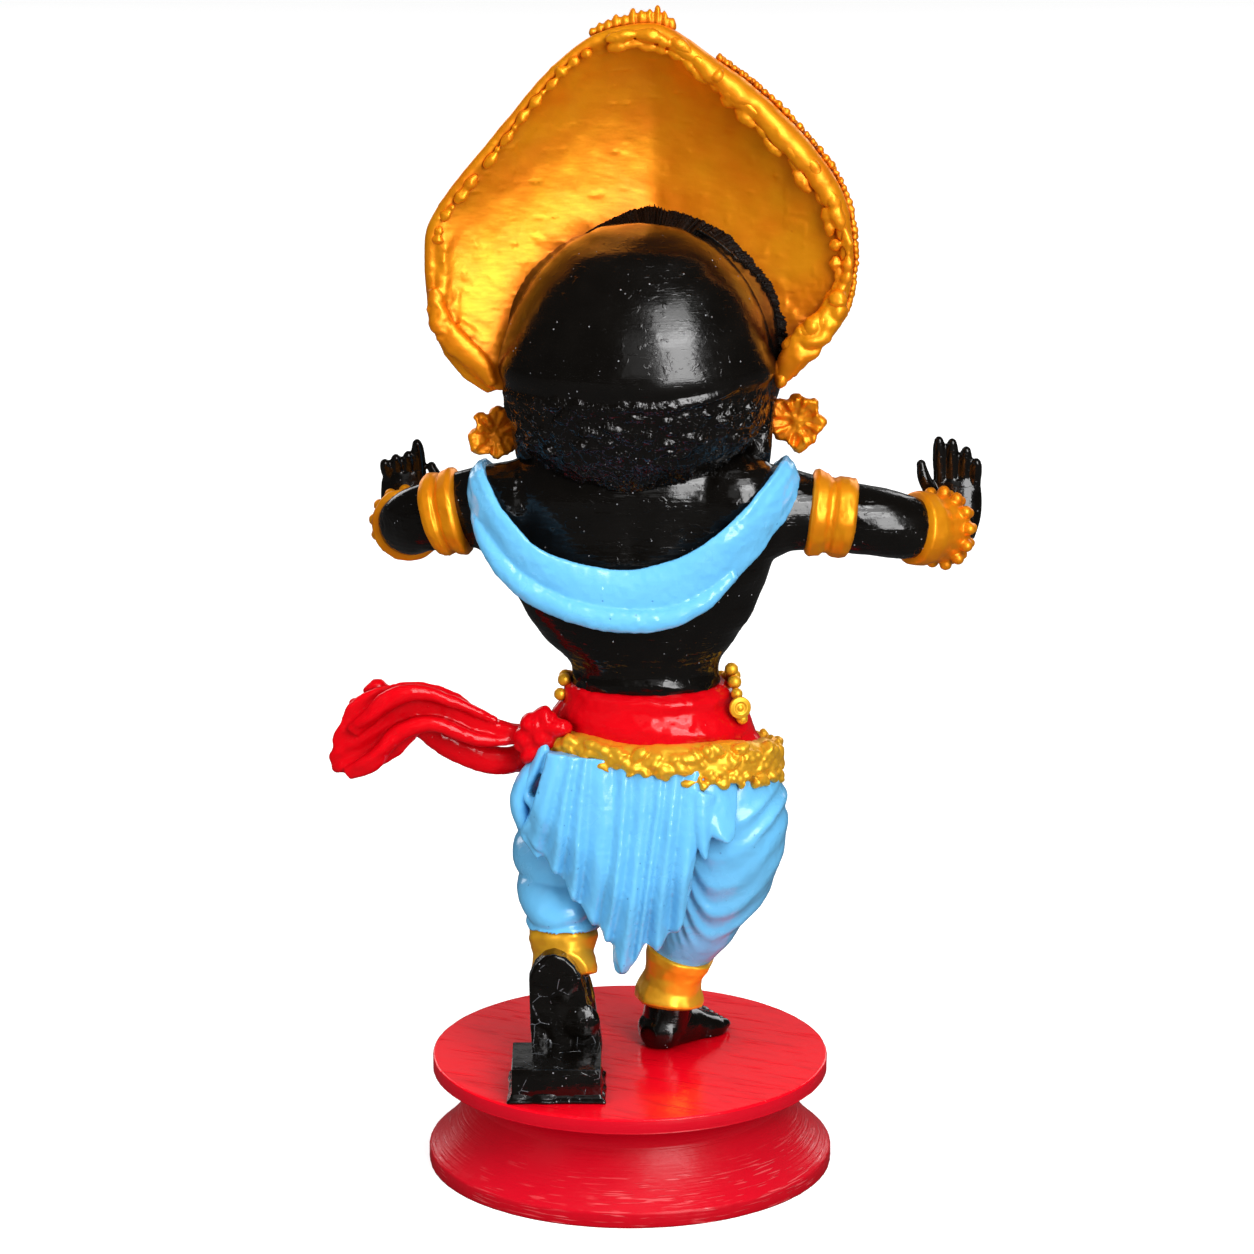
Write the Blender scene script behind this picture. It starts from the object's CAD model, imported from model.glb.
"""A dancing temple figure with a wide crown, painted black, gold, blue and red, on a turned plinth."""
import math

import bmesh
import bpy
import numpy as np
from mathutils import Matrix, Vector


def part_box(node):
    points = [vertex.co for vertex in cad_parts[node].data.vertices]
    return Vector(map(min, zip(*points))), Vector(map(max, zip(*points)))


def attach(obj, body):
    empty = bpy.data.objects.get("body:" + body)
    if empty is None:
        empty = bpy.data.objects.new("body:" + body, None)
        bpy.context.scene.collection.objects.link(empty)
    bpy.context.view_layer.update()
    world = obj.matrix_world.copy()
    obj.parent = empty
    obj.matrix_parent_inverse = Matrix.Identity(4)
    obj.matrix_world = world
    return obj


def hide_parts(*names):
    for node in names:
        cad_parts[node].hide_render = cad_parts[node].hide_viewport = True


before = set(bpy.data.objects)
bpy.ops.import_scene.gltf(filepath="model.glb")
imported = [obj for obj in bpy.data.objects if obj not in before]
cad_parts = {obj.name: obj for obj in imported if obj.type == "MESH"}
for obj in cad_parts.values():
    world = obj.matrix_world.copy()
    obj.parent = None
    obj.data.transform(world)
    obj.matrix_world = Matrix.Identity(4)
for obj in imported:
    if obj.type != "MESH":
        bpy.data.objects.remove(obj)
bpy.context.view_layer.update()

# The figure is set out on a grid: parts of a quarter millimetre, z up from the plinth's top
PART = 0.00025
PLINTH_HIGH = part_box("plinth")[1]
PLINTH_TOP = PLINTH_HIGH[2]
PLINTH_FOOT_RADIUS = PLINTH_HIGH[0]


# Numbers and grain

def through(keys, places):
    """Smooth rows through key rows, each of which starts with its place."""
    keys = np.asarray(keys, float)
    at, rows = keys[:, 0], keys[:, 1:]
    slope = np.gradient(rows, at, axis=0)
    places = np.clip(np.asarray(places, float), at[0], at[-1])
    k = np.clip(np.searchsorted(at, places, side="right") - 1, 0, len(at) - 2)
    span = (at[k + 1] - at[k])[..., None]
    t = (places - at[k])[..., None] / span
    rise = (2 * t - 3) * t * t
    return (
        (1 + rise) * rows[k] - rise * rows[k + 1]
        + t * (1 - t) * span * ((1 - t) * slope[k] - t * slope[k + 1])
    )


def numbered(keys):
    """Key rows with their number put first, as places for through()."""
    return np.column_stack([np.arange(len(keys)), keys])


def full_turn(count):
    """Even turns round a circle, in radians."""
    return np.linspace(0, 2 * np.pi, count, endpoint=False)


def unit(vectors):
    return vectors / np.maximum(np.linalg.norm(vectors, axis=-1, keepdims=True), 1e-12)


def step(low, high, value):
    t = np.clip((value - low) / (high - low), 0, 1)
    return t * t * (3 - 2 * t)


def bump(middle, reach, value):
    """1 at the middle, falling softly to 0."""
    return np.exp(-(((value - middle) / reach) ** 2))


def grain(points, size, seed=0):
    """Soft noise from -1 to 1 with lumps of about the given size."""
    p = np.asarray(points, float) / size + 91.7 + seed * 17.3
    cell = np.floor(p).astype(np.int64)
    t = p - cell
    t = t * t * (3 - 2 * t)
    total = 0
    for corner in np.ndindex(2, 2, 2):
        x, y, z = (cell[..., a] + corner[a] for a in range(3))
        code = (x * 73856093) ^ (y * 19349663) ^ (z * 83492791) ^ (seed * 2654435)
        code = (code ^ (code >> 13)) * 1274126177 & 0x7FFFFFFF
        weight = 1
        for a in range(3):
            weight = weight * (t[..., a] if corner[a] else 1 - t[..., a])
        total = total + weight * ((code >> 7 & 0xFFFF) / 32767.5 - 1)
    return total


# Forms: points and triangles on the figure's grid

def skin(rings, hoop=False):
    """A closed surface through rings of points, fanned shut at each end unless it is a hoop."""
    rings = np.asarray(rings, float)
    count, sides = rings.shape[:2]
    r, s = np.meshgrid(np.arange(count if hoop else count - 1), np.arange(sides), indexing="ij")
    a, b = r * sides + s, r * sides + (s + 1) % sides
    c, d = (r + 1) % count * sides + (s + 1) % sides, (r + 1) % count * sides + s
    faces = [np.stack([a, b, c], -1).reshape(-1, 3), np.stack([a, c, d], -1).reshape(-1, 3)]
    points = rings.reshape(-1, 3)
    if not hoop:
        first = np.arange(sides)
        after = (first + 1) % sides
        low, high = count * sides, count * sides + 1
        last = (count - 1) * sides
        faces.append(np.stack([np.full(sides, low), after, first], -1))
        faces.append(np.stack([np.full(sides, high), last + first, last + after], -1))
        points = np.vstack([points, rings[0].mean(0), rings[-1].mean(0)])
    return points, np.vstack(faces)


def stack(keys, levels, sides, relief=None):
    """Level rings; each key row is z, middle x, middle y, half width, half depth."""
    z = np.linspace(keys[0][0], keys[-1][0], levels + 1)
    x, y, width, depth = (column[:, None] for column in through(keys, z).T)
    turn = full_turn(sides)[None]
    out = np.stack([np.cos(turn) + 0 * x, np.sin(turn) + 0 * x, 0 * x + 0 * turn], -1)
    rings = np.stack([x + width * out[..., 0], y + depth * out[..., 1], z[:, None] + 0 * turn], -1)
    if relief is not None:
        rings = rings + out * relief(rings)[..., None]
    return skin(rings)


def limb(keys, steps, sides, outward=(0, -1, 0), profile=None, relief=None, flute=None):
    """A tube along key rows of x, y, z, half width and half thickness. The width lies across the
    path, square to outward. A profile gives (share of the path, swell) for each ring instead."""
    keys = np.asarray(keys, float)
    last = len(keys) - 1
    if profile is None:
        shares, swell = np.linspace(0, 1, steps + 1), np.ones(steps + 1)
    else:
        shares, swell = np.asarray(profile, float).T
    path = numbered(keys)
    rows = through(path, shares * last)
    ahead = through(path, np.minimum(shares * last + 0.02, last))[:, :3]
    behind = through(path, np.maximum(shares * last - 0.02, 0))[:, :3]
    centre, along = rows[:, :3], unit(ahead - behind)
    away = np.array([outward(p) for p in centre]) if callable(outward) else np.asarray(outward, float)
    across = unit(np.cross(away, along))
    out = np.cross(along, across)
    turn = full_turn(sides)
    grow = swell[:, None] * np.ones(sides)
    if flute is not None:
        grow = grow * flute(shares[:, None], turn[None])
    wide = across[:, None] * (rows[:, 3, None] * grow * np.cos(turn))[..., None]
    thick = out[:, None] * (rows[:, 4, None] * grow * np.sin(turn))[..., None]
    rings = centre[:, None] + wide + thick
    if relief is not None:
        rings = rings + unit(wide + thick) * relief(rings)[..., None]
    return skin(rings)


def sheet(front, back):
    """A closed sheet between two grids of points."""
    return skin(np.concatenate([front, back[:, ::-1]], axis=1))


def sphere_points(detail):
    shape = bmesh.new()
    bmesh.ops.create_icosphere(shape, subdivisions=detail, radius=1)
    points = np.array([v.co[:] for v in shape.verts])
    faces = np.array([[v.index for v in f.verts] for f in shape.faces])
    shape.free()
    return points, faces


BALLS = {detail: sphere_points(detail) for detail in (2, 3)}


def ball(centre, radii, detail=3):
    points, faces = BALLS[detail]
    return points * np.asarray(radii, float) * np.ones(3) + np.asarray(centre, float), faces


def bar(low, high):
    """A box between two corners."""
    corners = np.array([[x, y] for x, y in ((0, 0), (1, 0), (1, 1), (0, 1))])
    low, high = np.asarray(low, float), np.asarray(high, float)
    rings = [
        np.column_stack([low[:2] + corners * (high - low)[:2], np.full(4, z)]) for z in (low[2], high[2])
    ]
    return skin(rings)


# Pieces: meshes in metres, in the frame

PIECES = []
DENSE_FACES = 6000
SHARE_KEPT = 0.45


def piece(name, forms, paint, node="figure", smooth=True):
    """One object from the forms, riding on the root and standing for its node."""
    points, faces, count = [], [], 0
    for form_points, form_faces in forms:
        points.append(form_points)
        faces.append(form_faces + count)
        count += len(form_points)
    points = np.vstack(points) * PART
    points[:, 2] += PLINTH_TOP
    obj = bpy.data.objects.new(name, mesh_of(name, points, np.vstack(faces), smooth))
    bpy.context.scene.collection.objects.link(obj)
    obj.data.materials.append(paint)
    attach(obj, "root")
    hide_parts(node)
    PIECES.append(obj)
    return obj


def mesh_of(name, points, faces, smooth=True):
    mesh = bpy.data.meshes.new(name)
    mesh.vertices.add(len(points))
    mesh.vertices.foreach_set("co", np.ascontiguousarray(points, np.float32).ravel())
    mesh.loops.add(faces.size)
    mesh.loops.foreach_set("vertex_index", np.ascontiguousarray(faces, np.int32).ravel())
    mesh.polygons.add(len(faces))
    mesh.polygons.foreach_set("loop_start", np.arange(0, faces.size, 3, dtype=np.int32))
    mesh.polygons.foreach_set("use_smooth", np.full(len(faces), smooth))
    mesh.update(calc_edges=True)
    mesh.validate()
    return mesh


def apply_modifiers(obj):
    evaluated = obj.evaluated_get(bpy.context.evaluated_depsgraph_get())
    old = obj.data
    made = bpy.data.meshes.new_from_object(evaluated)
    obj.modifiers.clear()
    obj.data = made
    made.name = obj.name
    bpy.data.meshes.remove(old)
    made.polygons.foreach_set("use_smooth", np.full(len(made.polygons), True))
    return obj


def cast(obj, voxel, softening=4):
    """Runs the joined forms together as one casting: a voxel skin, then softened."""
    remesh = obj.modifiers.new("voxels", "REMESH")
    remesh.mode = "VOXEL"
    remesh.voxel_size = voxel * PART
    remesh.adaptivity = 0
    soften = obj.modifiers.new("soften", "SMOOTH")
    soften.factor = 0.5
    soften.iterations = softening
    return apply_modifiers(obj)


def thinned(obj, share):
    """Keeps a share of the triangles, most of them where the surface is carved."""
    thin = obj.modifiers.new("thin", "DECIMATE")
    thin.ratio = share
    apply_modifiers(obj)


def raised(obj, height):
    """Moves each point out along its normal by height(points, normals), all on the grid."""
    mesh = obj.data
    points = np.empty(len(mesh.vertices) * 3, np.float32)
    mesh.vertices.foreach_get("co", points)
    points = points.reshape(-1, 3).astype(float)
    normals = np.empty(len(mesh.vertices) * 3, np.float32)
    mesh.vertex_normals.foreach_get("vector", normals)
    normals = normals.reshape(-1, 3)
    grid = points / PART
    grid[:, 2] -= PLINTH_TOP / PART
    points += normals * (height(grid, normals) * PART)[:, None]
    mesh.vertices.foreach_set("co", np.ascontiguousarray(points, np.float32).ravel())
    mesh.update()


# Shader maths

class Tone:
    """A number that varies over a surface. Arithmetic on it adds Math nodes."""

    def __init__(self, paint, socket):
        self.paint = paint
        self.socket = socket

    def math(self, operation, first, second):
        made = self.paint.node("ShaderNodeMath", {"operation": operation}, {0: first, 1: second})
        return Tone(self.paint, made.outputs[0])

    def __add__(self, other):
        return self.math("ADD", self, other)

    def __sub__(self, other):
        return self.math("SUBTRACT", self, other)

    def __rsub__(self, other):
        return self.math("SUBTRACT", other, self)

    def __mul__(self, other):
        return self.math("MULTIPLY", self, other)

    __radd__ = __add__
    __rmul__ = __mul__

    def between(self, low, high, to_low=0.0, to_high=1.0):
        """This tone, stretched so that low to high becomes to_low to to_high, and clamped."""
        made = self.paint.node(
            "ShaderNodeMapRange", {"clamp": True},
            {"Value": self, "From Min": low, "From Max": high, "To Min": to_low, "To Max": to_high})
        return Tone(self.paint, made.outputs[0])


class Paint:
    """A material with its own node tree and one Principled shader."""

    def __init__(self, name):
        self.material = bpy.data.materials.new(name)
        self.material.use_nodes = True
        self.tree = self.material.node_tree
        self.shader = self.tree.nodes["Principled BSDF"]
        self.place = self.node("ShaderNodeTexCoord").outputs["Object"]

    def node(self, kind, settings=None, sockets=None):
        """One node: its settings first, then the values or links of its sockets."""
        made = self.tree.nodes.new(kind)
        for key, value in (settings or {}).items():
            setattr(made, key, value)
        self.feed(made, sockets or {})
        return made

    def feed(self, node, sockets):
        for key, value in sockets.items():
            socket = node.inputs[key]
            if isinstance(value, Tone):
                value = value.socket
            if isinstance(value, bpy.types.NodeSocket):
                self.tree.links.new(value, socket)
            elif isinstance(value, tuple) and len(value) == 3 and socket.type == "RGBA":
                socket.default_value = (*value, 1)
            else:
                socket.default_value = value

    def stretched(self, x=1.0, y=1.0, z=1.0, turn=0.0):
        """The surface's place in millimetres, turned about z, then stretched along each axis."""
        place = self.place
        if turn:
            turned = self.node("ShaderNodeMapping", None, {"Vector": place, "Rotation": (0, 0, turn)})
            place = turned.outputs[0]
        scale = (1000 * x, 1000 * y, 1000 * z)
        return self.node("ShaderNodeMapping", None, {"Vector": place, "Scale": scale}).outputs[0]

    def level(self):
        """Height over the floor, in metres."""
        made = self.node("ShaderNodeSeparateXYZ", None, {0: self.place})
        return Tone(self, made.outputs[2])

    def noise(self, size, detail=3.0, place=None, distortion=0.0):
        """Cloudy noise with lumps of about size millimetres."""
        made = self.node(
            "ShaderNodeTexNoise", {"noise_dimensions": "3D"},
            {"Vector": place or self.stretched(), "Scale": 1 / size, "Detail": detail,
             "Distortion": distortion})
        return Tone(self, made.outputs["Fac"])

    def cells(self, size, feature="F1"):
        """Distance from the middle, or the edge, of scattered cells of about size millimetres."""
        made = self.node(
            "ShaderNodeTexVoronoi", {"feature": feature},
            {"Vector": self.stretched(), "Scale": 1 / size})
        return Tone(self, made.outputs["Distance"])

    def mix(self, first, second, factor):
        made = self.node(
            "ShaderNodeMix", {"data_type": "RGBA"}, {"Factor": factor, 6: first, 7: second})
        return made.outputs[2]

    def hollows(self, reach):
        """1 where the surface is creased in, 0 on open surface."""
        made = self.node(
            "ShaderNodeAmbientOcclusion", {"samples": 4}, {"Distance": reach})
        return 1 - Tone(self, made.outputs["AO"])

    def finish(self, colour, roughness, height, depth, **fixed):
        """Joins the paint to the shader; depth is how far height 1 stands out, in millimetres."""
        relief = self.node(
            "ShaderNodeBump", None, {"Height": height, "Distance": depth / 1000, "Strength": 1.0})
        self.feed(self.shader, {"Base Color": colour, "Roughness": roughness, "Normal": relief.outputs[0]})
        self.feed(self.shader, fixed)
        return self.material


# Heights at which a paint changes
HAIR_LINE = PLINTH_TOP + 692 * PART
SHOULDER_LINE = PLINTH_TOP + 600 * PART
WAIST_LINE = PLINTH_TOP + 420 * PART


def dusty(paint, size, share):
    """Scattered specks: 1 on a speck, 0 elsewhere."""
    return paint.cells(size).between(share, share * 0.6)


def black_enamel(name="black_enamel", dripping=False, cracked=False):
    """Glossy black with pin-sharp dust. Where it drips, thick wet strands run over the hair;
    where it is cracked, fine lines catch the light between flat facets."""
    paint = Paint(name)
    specks = dusty(paint, 2.2, 0.11) * paint.noise(8).between(0.5, 0.6)
    lines = paint.noise(0.35, 1, place=paint.stretched(0.04, 0.04, 1))
    cloud = paint.noise(6, 4)
    drips = paint.noise(2.4, 3, distortion=0.6).between(0.62, 0.72)
    streaks = paint.noise(0.8, 2, place=paint.stretched(0.22, 0.3, 1), distortion=0.3).between(0.60, 0.70)
    colour = paint.mix((0.0016, 0.0013, 0.001), (0.0038, 0.003, 0.0023), cloud)
    colour = paint.mix(colour, (0.32, 0.33, 0.35), specks * 0.85)
    height = lines * 0.25 + paint.noise(1.1, 2) * 0.4 + specks * 1.4 + drips * 0.7 + streaks * 0.4
    roughness = cloud.between(0.3, 0.75, 0.10, 0.22)
    if dripping:
        low = paint.level().between(HAIR_LINE, HAIR_LINE - 0.002)
        strands = paint.noise(2.4, 2, place=paint.stretched(1, 0.6, 0.6), distortion=1.2).between(0.42, 0.62)
        beads = paint.noise(0.8, 1, distortion=0.4).between(0.62, 0.74)
        height = height + low * (strands * 2.0 + beads * 2.4)
        roughness = cloud.between(0.3, 0.75, 0.15, 0.26) - low * 0.09
    if cracked:
        edge = paint.cells(6.5, feature="DISTANCE_TO_EDGE").between(0.02, 0.0)
        worn = edge * paint.noise(3.2).between(0.54, 0.60)
        colour = paint.mix(colour, (0.22, 0.23, 0.25), worn * 0.7)
        height = height + worn * 3 + paint.noise(3, 2) * 2
    return paint.finish(
        colour, roughness, height, 0.08,
        **{"Coat Weight": 0.12, "Coat Roughness": 0.06, "Specular IOR Level": 0.5})


def dull_black():
    """The black where it is dragged over the gold of the crown: dry and rough."""
    paint = Paint("dull_black")
    cloud = paint.noise(2, 3)
    colour = paint.mix((0.003, 0.0022, 0.0016), (0.012, 0.008, 0.005), cloud)
    height = paint.noise(0.5, 2) + cloud
    return paint.finish(
        colour, cloud.between(0.3, 0.7, 0.4, 0.6), height, 0.15, **{"Specular IOR Level": 0.25})


def gold_paint():
    paint = Paint("gold_paint")
    strokes = paint.noise(0.8, 3, place=paint.stretched(0.14, 0.5, 1.2), distortion=0.3)
    cloud = paint.noise(9, 3)
    hollow = paint.hollows(0.004).between(0.2, 0.85)
    above = paint.level().between(SHOULDER_LINE, SHOULDER_LINE + 0.01)
    deep = paint.hollows(0.045).between(0.30, 0.56) * above
    colour = paint.mix((0.95, 0.26, 0.002), (1.0, 0.36, 0.004), cloud.between(0.3, 0.7))
    colour = paint.mix(colour, (1.0, 0.43, 0.01), strokes.between(0.6, 0.8) * 0.35)
    colour = paint.mix(colour, (0.70, 0.12, 0.0005), deep * 0.8)
    lower = paint.level().between(WAIST_LINE, WAIST_LINE - 0.005)
    colour = paint.mix(colour, (1.0, 0.54, 0.03), lower * 0.8)
    colour = paint.mix(colour, (0.42, 0.08, 0.001), hollow * 0.8)
    height = strokes * 0.3 + paint.noise(2.2, 3) * 0.4
    return paint.finish(
        colour, strokes.between(0.2, 0.8, 0.36, 0.50), height, 0.09,
        **{"Metallic": 0.62, "Coat Weight": 0.05, "Coat Roughness": 0.2})


def blue_enamel():
    paint = Paint("blue_enamel")
    cloud = paint.noise(9, 3)
    hollow = paint.hollows(0.005).between(0.15, 0.8)
    pits = dusty(paint, 4.0, 0.08)
    colour = paint.mix((0.112, 0.42, 0.73), (0.148, 0.49, 0.80), cloud)
    colour = paint.mix(colour, (0.03, 0.20, 0.50), hollow * 0.5)
    colour = paint.mix(colour, (0.05, 0.2, 0.42), pits * 0.6)
    lines = paint.noise(0.4, 1, place=paint.stretched(0.1, 0.1, 1))
    height = paint.noise(1.4, 3) * 0.6 + lines * 0.15 - pits * 0.7
    return paint.finish(
        colour, cloud.between(0.3, 0.7, 0.18, 0.30), height, 0.08,
        **{"Coat Weight": 0.28, "Coat Roughness": 0.1})


def red_enamel():
    paint = Paint("red_enamel")
    cloud = paint.noise(8, 3)
    hollow = paint.hollows(0.006).between(0.15, 0.85)
    colour = paint.mix((0.54, 0.0008, 0.004), (0.64, 0.0015, 0.006), cloud)
    colour = paint.mix(colour, (0.20, 0.0, 0.001), hollow * 0.8)
    height = paint.noise(1.8, 3) * 0.7 + dusty(paint, 3.4, 0.08) * 0.7
    return paint.finish(
        colour, cloud.between(0.3, 0.7, 0.10, 0.20), height, 0.08,
        **{"Coat Weight": 0.08, "Coat Roughness": 0.05, "Specular IOR Level": 0.22})


def plinth_red():
    """Brushed and glossy on top, duller and turned in fine rings down the sides."""
    paint = Paint("plinth_red")
    upper = paint.level().between(PLINTH_TOP - 0.0006, PLINTH_TOP - 0.0002)
    swept = paint.stretched(0.10, 0.45, 1.6, turn=0.55)
    strokes = paint.noise(1.4, 4, place=swept, distortion=0.5)
    scratches = paint.noise(0.9, 2, place=paint.stretched(0.05, 0.6, 1.0, turn=0.4)).between(0.60, 0.70)
    cloud = paint.noise(14, 3)
    turned = paint.noise(0.35, 2, place=paint.stretched(0.02, 0.02, 1)) * paint.noise(9).between(0.4, 0.7)
    low = paint.level().between(0.013, 0.009) * paint.noise(15).between(0.44, 0.56)
    glints = paint.noise(0.42, 1, place=paint.stretched(0.05, 0.05, 1)).between(0.60, 0.66) * low
    hollow = paint.hollows(0.014).between(0.1, 0.8)
    side = paint.mix((0.49, 0.001, 0.010), (0.56, 0.002, 0.013), cloud)
    colour = paint.mix(side, (0.84, 0.0015, 0.011), upper)
    colour = paint.mix(colour, (0.46, 0.001, 0.008), strokes.between(0.55, 0.8) * upper * 0.5)
    colour = paint.mix(colour, (0.26, 0.0, 0.002), hollow * 0.75)
    colour = paint.mix(colour, (0.86, 0.12, 0.13), glints * 0.5)
    height = (strokes * 0.7 - scratches * 0.6) * upper + turned * 1.2 + glints + paint.noise(0.7, 2) * 0.2
    roughness = strokes.between(0.2, 0.8, 0.12, 0.22) + (1 - upper) * 0.14
    return paint.finish(
        colour, roughness, height, 0.11,
        **{"Coat Weight": upper * 0.12 + glints * 0.7, "Coat Roughness": 0.12, "Specular IOR Level": 0.2})


def plain_enamel(name, colour, roughness=0.25):
    paint = Paint(name)
    cloud = paint.noise(3, 3)
    darker = tuple(0.8 * c for c in colour)
    return paint.finish(
        paint.mix(darker, colour, cloud.between(0.2, 0.6)),
        cloud.between(0.3, 0.7, roughness, roughness + 0.1),
        paint.noise(1.2, 2), 0.04, **{"Coat Weight": 0.4})


BLACK = black_enamel()
HEAD_BLACK = black_enamel("head_enamel", dripping=True)
SOLE_BLACK = black_enamel("sole_enamel", cracked=True)
DULL_BLACK = dull_black()
GOLD = gold_paint()
BLUE = blue_enamel()
RED = red_enamel()
PLINTH_RED = plinth_red()
WHITE = plain_enamel("white_enamel", (0.82, 0.80, 0.74))
BROWN = plain_enamel("iris_enamel", (0.035, 0.012, 0.006), 0.12)


# The turned plinth

TOP_RADIUS = 0.049
RIM = 0.0037
NECK_RADIUS = 0.0395
NECK_Z = 0.6 * PLINTH_TOP
# The turning tool's marks: share of the depth, turns per metre of height in radians, start
TOOL_MARKS = ((1, 6200, 0), (0.8, 10100, 1), (0.6, 15300, 0))


def plinth():
    quarter = np.linspace(0, np.pi / 2, 110)
    curve_r = PLINTH_FOOT_RADIUS - (PLINTH_FOOT_RADIUS - NECK_RADIUS) * np.sin(quarter)
    curve_z = NECK_Z - (NECK_Z - RIM) * np.cos(quarter)
    slope_r = PLINTH_FOOT_RADIUS - (PLINTH_FOOT_RADIUS - NECK_RADIUS) * np.linspace(0, 1, 110) ** 1.25
    slope_z = RIM + (NECK_Z - RIM) * np.linspace(0, 1, 110)
    flare_r, flare_z = 0.35 * curve_r + 0.65 * slope_r, 0.35 * curve_z + 0.65 * slope_z
    under = np.linspace(0, np.pi / 2, 40)
    under_r = TOP_RADIUS - (TOP_RADIUS - NECK_RADIUS) * np.cos(under)
    under_z = NECK_Z + (PLINTH_TOP - RIM - NECK_Z) * np.sin(under)
    edge = 0.0004
    radii = [1e-5, PLINTH_FOOT_RADIUS - edge, PLINTH_FOOT_RADIUS - 0.1 * edge, PLINTH_FOOT_RADIUS,
             PLINTH_FOOT_RADIUS, PLINTH_FOOT_RADIUS - 0.2 * edge]
    levels = [0, 0, 0.1 * edge, edge, RIM - edge, RIM]
    radii += list(flare_r[3:]) + list(under_r[1:])
    levels += list(flare_z[3:]) + list(under_z[1:])
    radii += [TOP_RADIUS - 0.3 * edge, TOP_RADIUS, TOP_RADIUS, TOP_RADIUS - 0.3 * edge, TOP_RADIUS - edge]
    levels += [PLINTH_TOP - RIM, PLINTH_TOP - RIM + edge, PLINTH_TOP - edge, PLINTH_TOP - 0.3 * edge,
               PLINTH_TOP]
    inward = np.linspace(TOP_RADIUS - 2 * edge, 1e-5, 12)
    radii += list(inward)
    levels += [PLINTH_TOP] * len(inward)
    radii, levels = np.array(radii), np.array(levels)
    turn = full_turn(260)
    rings = np.stack(
        [radii[:, None] * np.cos(turn), radii[:, None] * np.sin(turn), levels[:, None] + 0 * turn], -1)
    curved = (levels > RIM * 1.15) & (levels < PLINTH_TOP - RIM * 1.1)
    waves = sum(depth * np.sin(levels * rate + start) for depth, rate, start in TOOL_MARKS)
    cut = step(-0.2, 0.7, grain(rings * [1000, 1000, 2500], 13, 83))
    grooves = 0.000026 * np.where(curved, waves, 0)[:, None] * cut
    rim = np.hypot(rings[..., 0], rings[..., 1]) > TOP_RADIUS - 2 * edge
    rough = 0.00007 * grain(rings * 1000, 1.6, 81) + 0.00004 * grain(rings * 1000, 0.7, 82)
    rings[..., :2] *= (1 + (np.where(rim, rough, 0.3 * rough) + grooves) / TOP_RADIUS)[..., None]
    points, faces = skin(rings)
    points = points / PART
    points[:, 2] -= PLINTH_TOP / PART
    piece("plinth_spool", [(points, faces)], PLINTH_RED, "plinth")


# Body

TORSO = [
    (322, 20, 4, 92, 62), (352, 18, 2, 80, 57), (378, 16, 0, 74, 54), (402, 15, 0, 72, 52),
    (428, 10, 0, 93, 60), (462, 9, 0, 114, 68), (498, 5, 0, 131, 71), (530, 5, 0, 140, 71),
    (562, 4, 0, 142, 70), (586, 5, 1, 130, 68), (604, 8, 3, 118, 62), (619, 9, 4, 106, 50),
    (634, 10, 4, 92, 40),
]
ARM_LEFT = [
    (-110, 0, 556, 46, 50), (-145, 2, 557, 38, 41), (-178, 8, 550, 34, 36), (-203, 18, 541, 33, 34),
    (-216, 42, 530, 31, 32), (-219, 74, 523, 27, 27), (-222, 104, 520, 21, 21),
]
ARM_RIGHT = [
    (110, 0, 558, 46, 50), (150, -1, 556, 39, 41), (192, -1, 551, 34, 35), (238, 1, 544, 34, 34),
    (270, 8, 536, 31, 31), (296, 27, 530, 27, 27), (322, 54, 526, 23, 23),
]
UP = (0, 0, 1)
SPINE_X = 5


def body():
    forms = [
        stack(TORSO, 90, 160), limb(ARM_LEFT, 60, 48, UP), limb(ARM_RIGHT, 60, 48, UP),
        ball((-112, 2, 552), (56, 52, 48)), ball((118, 2, 552), (58, 52, 48)),
        ball((100, -20, 574), (50, 46, 46)),
    ]
    obj = cast(piece("body", forms, BLACK), 2.1, 24)

    def muscles(p, n):
        back = step(0.1, -0.5, n[:, 1])
        spine = -1.6 * bump(SPINE_X, 12, p[:, 0]) * step(395, 430, p[:, 2]) * step(600, 560, p[:, 2])
        side = np.abs(p[:, 0] - SPINE_X)
        blades = 1.6 * bump(66, 30, side) * bump(522, 34, p[:, 2])
        loins = 2.4 * bump(34, 18, side) * bump(410, 26, p[:, 2])
        flank = step(425, 445, p[:, 2]) * step(520, 490, p[:, 2])
        ribs = 2.4 * bump(104, 20, side) * np.sin((p[:, 2] - 440) / 7.5) * flank
        lines = 0.14 * np.sin(p[:, 2] / 0.9 + 1.5 * grain(p, 40, 3))
        drips = 1.3 * np.maximum(0, grain(p * [0.35, 1, 1], 5, 6) - 0.45)
        creases = 1.2 * np.abs(grain(p * [0.3, 1, 1], 11, 8)) * step(430, 396, p[:, 2])
        wrung = 1.6 * grain(p * [0.4, 1, 1], 8, 9) * step(402, 384, p[:, 2])
        roll = 2.4 * bump(391, 5, p[:, 2] + 3 * grain(p * [1, 1, 0], 26, 12))
        dip = -9 * bump(540, 46, p[:, 2]) * step(86, 50, p[:, 0])
        carved = spine + blades + loins + ribs + lines + drips + creases + wrung + roll + dip
        return back * carved + 0.5 * grain(p, 18, 1) + 0.12 * grain(p, 5, 2)

    raised(obj, muscles)


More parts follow.
